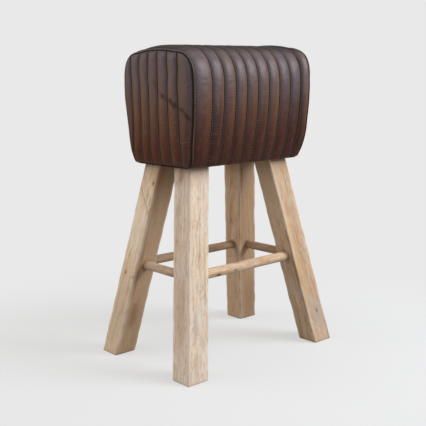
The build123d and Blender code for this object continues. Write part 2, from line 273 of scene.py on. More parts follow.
# Legs
# Four square posts of sanded mango wood, splayed both ways, with edges worn soft by hand
# sanding, knots and a thin lime wash left in the grain.
leg_across, leg_deep = 0.060, 0.058
leg_edge, leg_foot_edge = 0.0032, 0.0016
leg_rows, leg_columns = 150, 12
leg_bow = 0.0007
leg_full, leg_ripple = 0.0004, 0.00022      # the faces stand out this much, and ripple
leg_wear, leg_wear_reach = 0.0011, 0.007    # how deep the edges are worn, and how far from them
# Painted shade with a warm painted reflection of the leather: rings round the stretcher sockets, the
# tops of the legs under the seat and their feet by the floor.
socket_shade_start, socket_shade_run = 0.0105, 0.007    # dark rings round the stretchers
seat_shade_run, foot_shade_run = 0.05, 0.006
stretcher_level = (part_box("stretcher_front")[0].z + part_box("stretcher_front")[1].z) / 2
corners = {"front_left": (-1, -1), "front_right": (1, -1), "back_left": (-1, 1), "back_right": (1, 1)}


def mark(mesh, name, values):
    """Keeps a number or three numbers for each vertex as a named attribute."""
    if isinstance(values[0], tuple):
        layer = mesh.attributes.new(name, "FLOAT_VECTOR", "POINT")
        layer.data.foreach_set("vector", [part for value in values for part in value])
    else:
        layer = mesh.attributes.new(name, "FLOAT", "POINT")
        layer.data.foreach_set("value", values)


def wood(name, turn, pale, brown, wash, knots=(), stains_and_reflections=(), lines=(), front_face_shade=0.0, paler_foot=0.0):
    """Sanded mango wood: pale fibres with browner streaks, dark flecks, knots and a wash, a pale
    edge line that is partly wear and partly painted highlight, and painted shade with a warm
    painted reflection of the leather near the seat, round the stretchers and at the foot. turn
    shifts its grain, and front_face_shade is how much browner its front face is painted, as
    painted shade. Knots are given as place, size and depth, stains_and_reflections as place,
    half size, colour and share, and lines as start, stop, half width, colour and share, all
    before the piece is put in its place. Some of the stains are painted reflections of the
    leather near the tops of the legs."""
    finish = Finish(name)
    place = finish.place("grain")
    broad = finish.noise(place, (26, 26, 2.2), 3, 0.55, 0.6, (turn, 0, 0))
    fibre = finish.noise(place, (170, 170, 7), 3, 0.6, 0.3, (0, turn, 0))
    fine = finish.noise(place, (620, 620, 34), 2, 0.6, 0.0, (0, 0, turn))
    patch = finish.noise(place, (22, 22, 9), 4, 0.6, 0.4, (turn, turn, 0))
    warm = finish.noise(place, (15, 15, 6), 3, 0.6, 0.5, (0, 5.0, turn))
    mottle = finish.noise(place, (170, 170, 30), 4, 0.7, 0.25, (turn, 4.0, 2.0))
    limed = finish.noise(place, (460, 460, 30), 3, 0.6, 0.4, (turn, 8.0, 6.0))
    flecks = finish.noise(place, (620, 620, 62), 3, 0.6, 0.4, (1.7, 0, turn))
    greyed = finish.noise(place, (50, 50, 22), 3, 0.65, 0.0, (turn, 2.0, 1.0))
    rings = finish.add("TexWave", {
        "Vector": finish.stretched(place, 30, 22, 1.5, (turn, 0, 0)), "Scale": 1.0,
        "Distortion": 7.0, "Detail": 3.0, "Detail Scale": 0.8, "Detail Roughness": 0.62,
    }, bands_direction="DIAGONAL").outputs["Fac"]
    tone = finish.sum("MULTIPLY_ADD", finish.step(fibre, 0.34, 0.68), 0.34,
                      finish.times(finish.step(broad, 0.36, 0.66), 0.36))
    tone = finish.sum("MULTIPLY_ADD", finish.step(rings, 0.55, 0.98), 0.42, tone)
    finish.start(tone, pale, brown)
    finish.tint(warm, 0.50, 0.72, 0.0, 0.50, (186, 142, 108))
    finish.tint(patch, 0.48, 0.66, 0.0, 0.62, wash)
    finish.tint(fine, 0.55, 0.70, 0.0, 0.42, (146, 118, 96))
    finish.tint(mottle, 0.47, 0.33, 0.0, 0.60, pale)
    finish.tint(limed, 0.52, 0.68, 0.0, 0.34, (238, 228, 216))
    _, deep, up = finish.split(place)
    # Painted shade: the front face is painted browner where the seat shades the back legs.
    from_front = finish.sum("ADD", deep, turn + leg_deep / 2)
    finish.tint(from_front, 0.001, 0.006, front_face_shade, 0.0, (168, 137, 106))
    from_foot = finish.sum("SUBTRACT", up, turn)
    finish.tint(from_foot, 0.02, 0.24, paler_foot, 0.0, (240, 226, 210))
    finish.tint(mottle, 0.50, 0.66, 0.0, 0.48, (174, 138, 110))
    finish.tint(flecks, 0.58, 0.70, 0.0, 0.58, (120, 86, 62))
    finish.tint(greyed, 0.60, 0.74, 0.0, 0.45, (146, 122, 102))
    height = finish.sum("MULTIPLY_ADD", fibre, 0.5, finish.times(fine, 0.5))
    height = finish.sum("MULTIPLY_ADD", rings, -0.35, height)
    height = finish.sum("SUBTRACT", height, finish.step(flecks, 0.58, 0.74, 0.0, 0.8))
    shift = Vector((turn, -turn, turn))
    uneven = finish.times(finish.sum("SUBTRACT", mottle, 0.5), 2.2)
    for spot, half, colour, share in stains_and_reflections:
        offset = finish.vector("SUBTRACT", place, Vector(spot) + shift)
        near = finish.stretched(offset, *(1 / reach for reach in half))
        ragged = finish.sum("ADD", finish.vector("LENGTH", near), uneven)
        finish.tint(ragged, 0.35, 1.25, share, 0.0, colour)
    for start, stop, half, colour, share in lines:
        away = finish.from_line(place, Vector(start) + shift, Vector(stop) + shift)
        ragged = finish.sum("MULTIPLY_ADD", uneven, half, away)
        finish.tint(ragged, 0.4 * half, 1.6 * half, share, 0.0, colour)
    rough = finish.times(finish.sum("SUBTRACT", fine, 0.5), 0.9)
    for spot, size, depth in knots:
        offset = finish.vector("SUBTRACT", place, Vector(spot) + shift)
        near = finish.stretched(offset, 1 / size, 1 / size, 0.55 / size)
        ragged = finish.sum("ADD", finish.vector("LENGTH", near), rough)
        finish.tint(ragged, 0.5, 2.6, 0.35 * depth, 0.0, (142, 108, 80))
        finish.tint(ragged, 0.45, 1.0, depth, 0.0, (82, 56, 42))
        height = finish.sum("SUBTRACT", height, finish.step(ragged, 0.3, 1.2, 1.2 * depth, 0.0))
    # A pale line along the edges: partly wear, partly painted highlight.
    finish.paint(finish.times(finish.value("edge_wear_and_highlight"), 0.70), (236, 219, 198))
    # Painted shade and a warm painted reflection of the leather: leg tops under the seat, round the
    # stretchers, the feet and the bar ends.
    finish.paint(finish.times(finish.value("painted_shade"), 0.60), (120, 73, 38))
    return finish.done(finish.step(broad, 0.3, 0.7, 0.60, 0.74), (height, 0.0005, 0.75), 0.32)


def leg_line(name):
    """The middles of a leg's foot and of its top, from the frame."""
    low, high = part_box("leg_" + name)
    side_x, side_y = corners[name]
    half = Vector((side_x * leg_across / 2, side_y * leg_deep / 2, 0))
    outer = Vector((low.x if side_x < 0 else high.x, low.y if side_y < 0 else high.y, 0))
    inner = Vector((high.x if side_x < 0 else low.x, high.y if side_y < 0 else low.y, high.z))
    return outer - half, inner + half


def rise(edge):
    """How far an edge runs upwards."""
    return abs(edge.verts[0].co.z - edge.verts[1].co.z)


def round_off(bm, edges, radius, segments):
    """Rounds some edges."""
    bmesh.ops.bevel(bm, geom=edges, offset=radius, offset_type="OFFSET", affect="EDGES",
                    segments=segments, profile=0.5, material=-1)


def leg_mesh(name, turn):
    """One leg: a bevelled post, then rubbed down at its edges, bowed and sheared to its splay."""
    foot, top = leg_line(name)
    side_x, side_y = corners[name]
    bm = bmesh.new()
    bmesh.ops.create_cube(bm, size=1.0)
    bmesh.ops.scale(bm, verts=bm.verts[:], vec=(leg_across, leg_deep, top.z))
    bmesh.ops.translate(bm, verts=bm.verts[:], vec=(0, 0, top.z / 2))
    flat = [e for e in bm.edges if rise(e) < leg_edge]
    bmesh.ops.subdivide_edges(bm, edges=flat, cuts=leg_columns, use_grid_fill=True)
    posts = [e for e in bm.edges if rise(e) > leg_across
             and all(abs(abs(v.co.x) - leg_across / 2) < leg_edge / 4
                     and abs(abs(v.co.y) - leg_deep / 2) < leg_edge / 4 for v in e.verts)]
    round_off(bm, posts, leg_edge, 4)
    bottom = [e for e in bm.edges if e.verts[0].co.z + e.verts[1].co.z < leg_edge / 4
              and any(abs(f.normal.z) < 0.5 for f in e.link_faces)]
    round_off(bm, bottom, leg_foot_edge, 2)
    long = [e for e in bm.edges if rise(e) > leg_across]
    bmesh.ops.subdivide_edges(bm, edges=long, cuts=leg_rows)
    grain, edge_wear_and_highlight, painted_shade = [], [], []
    for v in bm.verts:
        x, y, z = v.co
        grain.append((x + turn, y - turn, z + turn))
        from_edge = hypot(leg_across / 2 - abs(x), leg_deep / 2 - abs(y))
        corner = max(0.0, 1.0 - from_edge / leg_wear_reach)
        chips = noise.noise(Vector((turn + 9.0 * ((x > 0) + 2 * (y > 0)), z * 34, 0.3)))
        ripple = leg_ripple * noise.noise(Vector((x * 60 + turn, y * 60, z * 24)))
        bow_x = leg_bow * noise.noise(Vector((turn, 3.0, z * 5)))
        bow_y = leg_bow * noise.noise(Vector((7.0, turn, z * 5)))
        out = leg_full - leg_wear * corner * max(0.0, chips + 0.25) + ripple
        v.co.x += bow_x + out * (1 if x > 0 else -1)
        v.co.y += bow_y + out * (1 if y > 0 else -1)
        v.co.x += foot.x + (top.x - foot.x) * (z / top.z)
        v.co.y += foot.y + (top.y - foot.y) * (z / top.z)
        v.co.z = max(z, 0.0)
        edge_wear_and_highlight.append(max(0.0, min(1.0, corner * (0.8 + 0.9 * chips))))
        # Painted shade round the stretcher sockets, under the seat and at the foot.
        inner = ((x * -side_x > leg_across * 0.46, y), (y * -side_y > leg_deep * 0.46, x))
        away = min([1.0] + [hypot(z - stretcher_level, aside) for near, aside in inner if near])
        socket_shade = max(0.0, 1.0 - max(0.0, away - socket_shade_start) / socket_shade_run)
        seat_shade = max(0.0, 1.0 - (top.z - z) / seat_shade_run)
        foot_shade = max(0.0, 1.0 - z / foot_shade_run)
        painted_shade.append(min(1.0, 0.9 * socket_shade ** 2 + 0.80 * seat_shade + 0.5 * foot_shade))
    mesh = finished(bm, "leg_" + name)
    mark(mesh, "grain", grain)
    mark(mesh, "edge_wear_and_highlight", edge_wear_and_highlight)
    mark(mesh, "painted_shade", painted_shade)
    return mesh


leg_woods = {
    "front_left": dict(
        paler_foot=0.4, pale=(233, 211, 188), brown=(205, 177, 149), wash=(222, 206, 192),
        knots=(((-0.026, 0.006, 0.455), 0.006, 0.5),),
        stains_and_reflections=(((-0.010, -0.029, 0.128), (0.007, 0.02, 0.036), (172, 162, 154), 0.55),
                ((0.028, -0.029, 0.016), (0.007, 0.02, 0.013), (210, 176, 124), 0.6),
                ((-0.030, 0.000, 0.466), (0.02, 0.008, 0.022), (186, 124, 94), 0.5),
                ((-0.030, 0.004, 0.150), (0.02, 0.020, 0.110), (192, 150, 124), 0.35)),
        lines=(((-0.030, -0.010, 0.30), (-0.030, -0.012, 0.47), 0.0010, (166, 122, 92), 0.5),
               ((0.004, -0.029, 0.39), (-0.010, -0.029, 0.33), 0.0012, (170, 140, 116), 0.5),
               ((-0.010, -0.029, 0.33), (0.002, -0.029, 0.24), 0.0010, (170, 140, 116), 0.45))),
    "front_right": dict(
        pale=(203, 173, 142), brown=(176, 143, 110), wash=(202, 180, 158),
        knots=(((0.004, -0.029, 0.082), 0.004, 0.5),),
        stains_and_reflections=(((-0.019, -0.029, 0.235), (0.011, 0.02, 0.150), (206, 168, 112), 0.45),
                ((0.006, -0.029, 0.074), (0.020, 0.02, 0.055), (174, 158, 148), 0.62),
                ((-0.030, 0.004, 0.400), (0.02, 0.050, 0.160), (236, 206, 172), 0.45),
                ((0.030, -0.029, 0.010), (0.008, 0.02, 0.014), (84, 68, 70), 0.8)),
        lines=(((-0.030, -0.024, 0.03), (-0.030, -0.024, 0.30), 0.0026, (118, 82, 48), 0.6),)),
    "back_left": dict(
        front_face_shade=0.80, pale=(236, 207, 174), brown=(204, 169, 131), wash=(228, 209, 184),
        knots=(((-0.030, -0.020, 0.437), 0.0032, 0.85), ((-0.030, 0.008, 0.210), 0.0026, 0.75),
               ((-0.030, -0.024, 0.203), 0.0030, 0.85)),
        stains_and_reflections=(((-0.030, -0.004, 0.100), (0.02, 0.03, 0.120), (190, 170, 148), 0.45),
                ((-0.030, 0.000, 0.335), (0.02, 0.040, 0.090), (246, 230, 210), 0.50),
                ((-0.004, -0.029, 0.100), (0.013, 0.02, 0.040), (138, 98, 64), 0.6),
                ((-0.020, -0.029, 0.250), (0.006, 0.02, 0.120), (140, 102, 72), 0.45),
                # A warm painted reflection of the leather at the top of the front face.
                ((-0.022, -0.029, 0.455), (0.016, 0.02, 0.035), (150, 102, 62), 0.5)),
        lines=(((-0.030, 0.022, 0.422), (-0.030, -0.026, 0.362), 0.0016, (168, 124, 92), 0.6),)),
    "back_right": dict(
        front_face_shade=0.65, pale=(217, 182, 146), brown=(184, 145, 108), wash=(208, 181, 152),
        knots=(((-0.030, 0.004, 0.30), 0.005, 0.3),),
        # A warm painted reflection of the leather near the top of the front face.
        stains_and_reflections=(((-0.022, -0.029, 0.430), (0.007, 0.02, 0.055), (148, 94, 60), 0.6),
                ((0.010, -0.029, 0.060), (0.026, 0.02, 0.070), (140, 104, 76), 0.4),
                # A warm painted reflection of the leather at the top of the left face.
                ((-0.030, 0.010, 0.470), (0.02, 0.03, 0.030), (160, 108, 66), 0.5))),
}
leg_turns = {"front_left": 1.3, "front_right": 4.2, "back_left": 7.9, "back_right": 11.6}
for name, turn in leg_turns.items():
    leg = new_piece("leg_" + name + "_post", leg_mesh(name, turn),
                    wood("leg_wood_" + name, turn, **leg_woods[name]))
    leg.modifiers.new("even_shading", "WEIGHTED_NORMAL")
    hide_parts("leg_" + name)
    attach(leg, "root")

# Stretchers
# Round bars of the same wood, shaved by hand, so they are not quite round or straight. They
# are let into blind holes in the legs. The front one is the thickest.
bar_sides, bar_rows = 36, 110
bar_edge = 0.001
bar_facet_share, bar_full_share = 0.035, 0.04
bar_wobble = 0.0006
bar_hidden, bar_shade_run = 0.016, 0.012     # this much is in the leg, and dark beside it


def bar_mesh(name, turn):
    """One stretcher: a round bar with shaved facets, small dents and a slight bend."""
    low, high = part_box(name)
    size = high - low
    length, radius = max(size.x, size.y), size.z / 2
    bm = bmesh.new()
    bmesh.ops.create_cone(bm, cap_ends=True, segments=bar_sides, radius1=radius, radius2=radius,
                          depth=length)
    round_off(bm, [e for e in bm.edges if rise(e) < radius], bar_edge, 2)
    long = [e for e in bm.edges if rise(e) > length / 2]
    bmesh.ops.subdivide_edges(bm, edges=long, cuts=bar_rows)
    grain, painted_shade = [], []
    for v in bm.verts:
        x, y, z = v.co
        grain.append((x + turn, y - turn, z + turn))
        angle = atan2(y, x)
        facet = noise.noise(Vector((cos(angle) * 1.7 + turn, sin(angle) * 1.7, z * 6)))
        dent = noise.noise(Vector((cos(angle) * 4.0, sin(angle) * 4.0 + turn, z * 40)))
        swell = 1.0 + bar_full_share + bar_facet_share * facet + bar_facet_share / 3 * dent
        # Painted shade where the bar goes into the leg.
        end = max(0.0, 1.0 - (length / 2 - abs(z) - bar_hidden) / bar_shade_run)
        painted_shade.append(min(1.0, end) ** 2)
        v.co.x = x * swell + bar_wobble * noise.noise(Vector((turn, 1.0, z * 7)))
        v.co.y = y * swell + bar_wobble * noise.noise(Vector((2.0, turn, z * 7)))
    along_x = size.x > size.y
    lay = Matrix.Rotation(radians(90), 4, "Y") if along_x else Matrix.Rotation(radians(-90), 4, "X")
    bmesh.ops.transform(bm, verts=bm.verts[:], matrix=Matrix.Translation((low + high) / 2) @ lay)
    mesh = finished(bm, name)
    mark(mesh, "grain", grain)
    mark(mesh, "painted_shade", painted_shade)
    mark(mesh, "edge_wear_and_highlight", [0.0] * len(painted_shade))
    return mesh


bar_woods = {
    "front": dict(pale=(222, 192, 160), brown=(190, 154, 118), wash=(213, 192, 168),
                  knots=(((0.004, -0.0105, -0.044), 0.0026, 0.7),
                         ((0.006, -0.0095, -0.098), 0.0045, 0.8),
                         ((0.002, -0.0110, 0.070), 0.0020, 0.6))),
    "left": dict(pale=(200, 174, 150), brown=(168, 136, 110), wash=(192, 172, 154)),
    # The right and back bars are given darker wood: painted shade under the seat.
    "right": dict(pale=(170, 140, 110), brown=(138, 108, 80), wash=(160, 137, 114)),
    "back": dict(pale=(176, 144, 112), brown=(142, 108, 76), wash=(166, 140, 114)),
}
for number, (side, looks) in enumerate(bar_woods.items()):
    turn = 2.7 + 3.3 * number
    bar = new_piece("stretcher_" + side + "_bar", bar_mesh("stretcher_" + side, turn),
                    wood("bar_wood_" + side, turn, **looks))
    bar.modifiers.new("even_shading", "WEIGHTED_NORMAL")
    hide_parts("stretcher_" + side)
    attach(bar, "root")

# Bolts, washers, nuts, screws and dowels
# Zinc-plated hanger bolts with washers and nuts hold the legs, turned dowels stop them from
# turning, and screws hold the box. All of them are inside the seat or the legs.


def steel(name, colour, roughness):
    """Plated steel with faint scratches and uneven plating."""
    finish = Finish(name)
    place = finish.place()
    cloud = finish.noise(place, (260, 260, 260), 3, 0.6)
    scratch = finish.noise(place, (2400, 300, 2400), 2)
    bright = srgb(*colour)
    finish.colour = finish.mix(finish.step(cloud, 0.35, 0.7), bright,
                               tuple(part * 0.7 for part in bright))
    return finish.done(finish.step(cloud, 0.3, 0.7, roughness, roughness + 0.15),
                       (scratch, 0.00005, 0.4), metallic=1.0)


def dress(node, material):
    """Gives a node of the frame its finish."""
    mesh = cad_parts[node].data
    mesh.materials.clear()
    mesh.materials.append(material)


zinc = steel("zinc_plate", (176, 178, 178), 0.32)
for node in ("leg_bolts", "leg_washers", "leg_nuts"):
    dress(node, zinc)
blackened = steel("black_steel", (70, 68, 66), 0.42)
for node in ("base_screws", "top_screws"):
    dress(node, blackened)
dress("staples", steel("staple_wire", (150, 150, 148), 0.36))


def plain_wood(name, pale, brown, across_grain):
    """Unfinished wood or plywood: long streaks and soft rings along X."""
    finish = Finish(name)
    place = finish.place()
    streak = finish.noise(place, (6, across_grain, across_grain), 3, 0.6, 0.5)
    fibre = finish.noise(place, (40, 700, 700), 2, 0.6)
    tone = finish.sum("MULTIPLY_ADD", streak, 0.7, finish.times(fibre, 0.3))
    finish.start(finish.step(tone, 0.35, 0.65), pale, brown)
    return finish.done(finish.step(fibre, 0.3, 0.7, 0.65, 0.8), (fibre, 0.0002, 0.6))


dress("leg_dowels", plain_wood("dowel_beech", (208, 172, 128), (184, 142, 98), 150))

# Base board and box
# A plywood board that the legs are bolted to, with a box of softwood boards screwed to it
# and glue blocks in the corners.
dress("base_board", plain_wood("base_plywood", (205, 172, 128), (176, 138, 94), 60))
softwood = plain_wood("box_softwood", (222, 190, 142), (196, 154, 104), 90)
for node in ("top_board", "side_board_front", "side_board_back", "end_board_left",
             "end_board_right", "glue_blocks"):
    dress(node, softwood)

# Leather band
# Ten strips of waxed brown leather, sewn side by side over thin filling, that run up the
# front, over the top and down the back. Their hems are stapled under the base board.
seam_half = 0.1862                 # from the middle to the seam round an end panel
seat_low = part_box("band_channel_05")[0].z
widest_rise, crown_rise, end_crown_rise = 0.188, 0.280, 0.271
mid_depth, end_depth = 0.1372, 0.1355
mid_base, end_base = 0.1025, 0.1055
corner_round = 0.009
end_fall = 12                      # the outline changes to its end sizes only close to the ends
right_fall_share = 0.1             # the right end is stuffed fuller, so its crown hardly falls
upper_share, upper_turn, shoulder_turn = 1.5, radians(16.0), radians(78.0)
hem_line = 0.0851
widest_level = seat_low + widest_rise


def outline(x):
    """The arcs of the seat's outline at x, from the front hem over the top to the back hem:
    centre, radius, and first and last angle of each. A line has its two ends instead."""
    bend = min(1.0, abs(x) / seam_half) ** end_fall * (right_fall_share if x > 0 else 1.0)
    depth = mid_depth + (end_depth - mid_depth) * bend
    crown = seat_low + crown_rise + (end_crown_rise - crown_rise) * bend
    base = mid_base + (end_base - mid_base) * bend
    side = ((depth - base) ** 2 + widest_rise ** 2) / (2 * (depth - base))
    corner_drop = widest_rise - corner_round
    corner_y = depth - side + sqrt((side - corner_round) ** 2 - corner_drop ** 2)
    corner_turn = asin(corner_drop / (side - corner_round))
    # From the widest level up, three arcs that run into each other smoothly: the first has a
    # set radius and turn, and the other two follow from the height and depth that are left.
    rise = crown - widest_level
    upper = upper_share * rise
    rest_rise = rise - upper * sin(upper_turn)
    rest_depth = depth - upper * (1 - cos(upper_turn))
    up = sin(shoulder_turn) - sin(upper_turn)
    out = cos(upper_turn) - cos(shoulder_turn)
    share = up * cos(shoulder_turn) - out * (1 - sin(shoulder_turn))
    shoulder = (rest_rise * cos(shoulder_turn) - rest_depth * (1 - sin(shoulder_turn))) / share
    crown_radius = (up * rest_depth - out * rest_rise) / share
    shoulder_y = rest_depth - shoulder * cos(upper_turn)
    shoulder_z = crown - rest_rise - shoulder * sin(upper_turn)
    return [
        ("line", (corner_y, seat_low), (hem_line, seat_low)),
        ("arc", (corner_y, seat_low + corner_round), corner_round, radians(-90), -corner_turn),
        ("arc", (depth - side, widest_level), side, -corner_turn, 0.0),
        ("arc", (depth - upper, widest_level), upper, 0.0, upper_turn),
        ("arc", (shoulder_y, shoulder_z), shoulder, upper_turn, shoulder_turn),
        ("arc", (0.0, crown - crown_radius), crown_radius, shoulder_turn, radians(90)),
    ]


span_shares = (0.010, 0.013, 0.167, 0.064, 0.082, 0.164)   # of the whole outline, hem to middle


def on_outline(arcs, share):
    """A point of the outline and its outward direction. share goes from 0 at the front hem
    to 1 at the back hem."""
    side = -1 if share < 0.5 else 1
    rest = 0.5 - abs(share - 0.5)
    for span, part in zip(span_shares, arcs):
        if rest <= span or part is arcs[-1]:
            t = min(1.0, rest / span)
            break
        rest -= span
    if part[0] == "line":
        y = part[2][0] + (part[1][0] - part[2][0]) * t
        return side * y, part[2][1], 0.0, -1.0
    _, centre, radius, first, last = part
    angle = first + (last - first) * t
    return (side * (centre[0] + radius * cos(angle)), centre[1] + radius * sin(angle),
            side * cos(angle), sin(angle))


def eased(value, low, high):
    """A smooth step from 0 to 1 as value goes from low to high."""
    share = max(0.0, min(1.0, (value - low) / (high - low)))
    return share * share * (3.0 - 2.0 * share)


end_tilt = 0.0036                  # the left end's back edge sits this far in
back_pinch = 0.0055                # and is this much narrower
left_shoulder = 0.0030             # the upper edges are this much fuller at the ends
right_shoulder = 0.0068
shoulder_out, shoulder_up = 0.62, 0.78      # which way that fullness goes
right_out = 0.0034
foot_in, foot_in_rise = 0.0012, 0.20        # the left end leans in this much at its foot
end_tuck, end_tuck_rise = 0.0092, 0.075     # the ends roll in under the board
right_tuck_share = 0.85
front_out, front_out_rise = 0.0088, 0.20    # the left end is fuller low down in front
left_hollow = 0.0034               # low on the back of the left end
right_full = 0.0024                # low on the front of the right end


def hump(value, middle, half):
    """1 at the middle, falling to 0 at half on each side of it."""
    return max(0.0, 1.0 - ((value - middle) / half) ** 2)


def settled(point):
    """The lean and fullness that the stuffed cover has taken, which a drawing lacks."""
    x, y, z = point
    up = max(0.0, z - seat_low)
    left = max(0.0, -x / seam_half) ** 4
    right = max(0.0, x / seam_half) ** 5
    low = max(0.0, 1.0 - (z - seat_low) / foot_in_rise)
    back = eased(y, -end_depth, end_depth)
    upright = 0.55 + 0.45 * eased(z, seat_low, seat_low + 0.09)
    turn = atan2(z - widest_level, abs(y))
    shoulder = hump(turn, radians(27), radians(22))
    left_full = left_shoulder * left * (1.0 + 0.5 * eased(y, 0.0, 0.08))
    lift = (right_shoulder * right + left_full) * shoulder
    tuck = end_tuck * max(0.0, 1.0 - up / end_tuck_rise) ** 2
    tuck *= min(1.0, abs(x) / seam_half) ** 6 * (1.0 if x < 0 else right_tuck_share)
    lean = left * (foot_in * low ** 1.3 * (1.0 - back) + end_tilt * back * upright)
    stuffed_low = max(0.0, 1.0 - up / front_out_rise) ** 1.5
    stuffed_low *= eased(z, seat_low - 0.010, seat_low + 0.030) * eased(-y, 0.0, 0.09)
    stuffed_low *= max(0.0, min(1.0, 0.5 - 0.5 * x / seam_half)) ** 1.5
    hollow = hump(z - seat_low, 0.092, 0.065) * eased(y, 0.04, 0.12)
    full = hump(z - seat_low, 0.052, 0.050) * eased(-y, 0.04, 0.12)
    return Vector((
        x + (-tuck if x > 0 else tuck) + lean + right_out * right,
        y - front_out * stuffed_low - left_hollow * hollow * left - right_full * full * right
        - back_pinch * left * eased(y, 0.0, end_depth) * upright
        + lift * shoulder_out * (1 if y > 0 else -1),
        z + lift * shoulder_up,
    ))


def seams_between(edge, first, last, count):
    """Where the seams of a row of strips are. Its first and last strips have widths of their
    own, and the others are even."""
    even = (2 * edge - first - last) / (count - 2)
    return [-edge] + [-edge + first + even * step for step in range(count - 1)] + [edge]


band_count = 10
band_seams = seams_between(seam_half, first=0.0515, last=0.0284, count=band_count)
band_length = 0.76                 # from hem to hem
strip_columns, strip_rows = 14, 236
band_swell, last_swell = 0.0026, 0.0055     # the last strip on the right is stuffed fuller
foot_share, foot_rise = 0.22, 0.07 # a strip is this full at its foot, and full this far up
crease_depth, pore_depth = 0.00032, 0.00013
groove_depth = 0.0020
seam_gap = 0.00014
seam_wander = 0.0009
strip_back = 0.0026
thread_pitch, thread_length, thread_radius = 0.0046, 0.0034, 0.00042


def seam_place(number, share):
    """Where a seam of the band runs. The inner ones wander a little, as sewn seams do."""
    x = band_seams[number]
    if 0 < number < band_count:
        x += seam_wander * noise.noise(Vector((number * 3.7, share * 9.0, 0.5)))
    return x


def bulge(u, power=2.3):
    """How full a strip is between its seams, from 0 to 1."""
    return 1.0 - abs(2.0 * u - 1.0) ** power


def strip_uneven(number, u, along):
    """Hand-stuffed unevenness of a strip's fullness."""
    slow = noise.noise(Vector((number * 5.3, along * 7.0, 0.0)))
    quick = noise.noise(Vector((number * 5.3 + 2.0, along * 26.0, u * 1.5)))
    return 1.0 + 0.14 * slow + 0.10 * quick


def creases(number, u, along):
    """Fine creases across a strip, deepest beside its seams, in metres."""
    near = 1.0 - bulge(u, 1.6)
    wave = noise.noise(Vector((number * 7.1, along * 120.0, u * 2.0 + 0.35 * sin(along * 60))))
    small = noise.noise(Vector((number * 4.3, along * 260.0, u * 3.0)))
    return crease_depth * near * wave + pore_depth * small


def band_grid(number):
    """One strip of the band as an open sheet, with the place of its lining and the leather's
    values for each vertex: across, along and number, then share across, and distances from
    the seam and from the rim."""
    swell = band_swell if number < band_count - 1 else last_swell
    bm = bmesh.new()
    bmesh.ops.create_grid(bm, x_segments=strip_columns, y_segments=strip_rows, size=0.5)
    outlines, backs, marks = {}, [], []
    for v in bm.verts:
        u, share = v.co.x + 0.5, v.co.y + 0.5
        low = seam_place(number, share) + seam_gap
        high = seam_place(number + 1, share) - seam_gap
        x = low + (high - low) * u
        key = round(x, 5)
        if key not in outlines:
            outlines[key] = outline(x)
        y, z, out_y, out_z = on_outline(outlines[key], share)
        under = 1.0 if out_z > -0.5 else max(0.0, (1.0 + out_z) / 0.5)
        fade = foot_share + (1.0 - foot_share) * eased(z, seat_low, seat_low + foot_rise)
        fade *= 1.0 - 0.05 * eased(out_z, 0.75, 0.98)
        full = swell * bulge(u, 2.8) * fade * under * strip_uneven(number, u, share)
        hollow = groove_depth * (1.0 - bulge(u, 5.0)) * under
        lift = full - hollow + creases(number, u, share) * under
        v.co = Vector((x, y + out_y * lift, z + out_z * lift))
        back = Vector((x, y + out_y * -strip_back, z + out_z * -strip_back))
        backs.append(settled(back))
        marks.append((u * (high - low), share * band_length, float(number), u,
                      min(u, 1.0 - u) * (high - low), 1.0))
    for v in bm.verts:
        v.co = settled(v.co)
    return bm, backs, marks


def close_strip(bm, backs):
    """Gives an open strip its lining: a copy at the back, joined round the edge."""
    rim = [e for e in bm.edges if e.is_boundary]
    copy = bmesh.ops.duplicate(bm, geom=bm.verts[:] + bm.edges[:] + bm.faces[:])
    for v, place in zip(bm.verts[:len(backs)], backs):
        copy["vert_map"][v].co = place
    inner = [e for e in copy["geom"] if isinstance(e, bmesh.types.BMEdge) and e.is_boundary]
    bmesh.ops.reverse_faces(bm, faces=[f for f in copy["geom"] if isinstance(f, bmesh.types.BMFace)])
    bmesh.ops.bridge_loops(bm, edges=rim + inner)


# An old fold that slants down across the left end, from high near its middle to the front
# seam: its points, and how deep each stretch between two of them is.
old_fold = ((-0.1962, 0.052, 0.718), (-0.1962, 0.002, 0.677), (-0.1962, -0.028, 0.648),
            (-0.1962, -0.0595, 0.6375), (-0.1962, -0.072, 0.628), (-0.1962, -0.0995, 0.619),
            (-0.1962, -0.119, 0.604), (-0.1962, -0.129, 0.596))
fold_depths = (0.20, 0.45, 0.80, 0.95, 0.65, 0.90, 0.45)
# The leather tells its strips apart by number: the band's start at 0, and the ends' at these.
left_numbers, right_numbers = 30, 50
band_to_end = (15.0, 25.0)


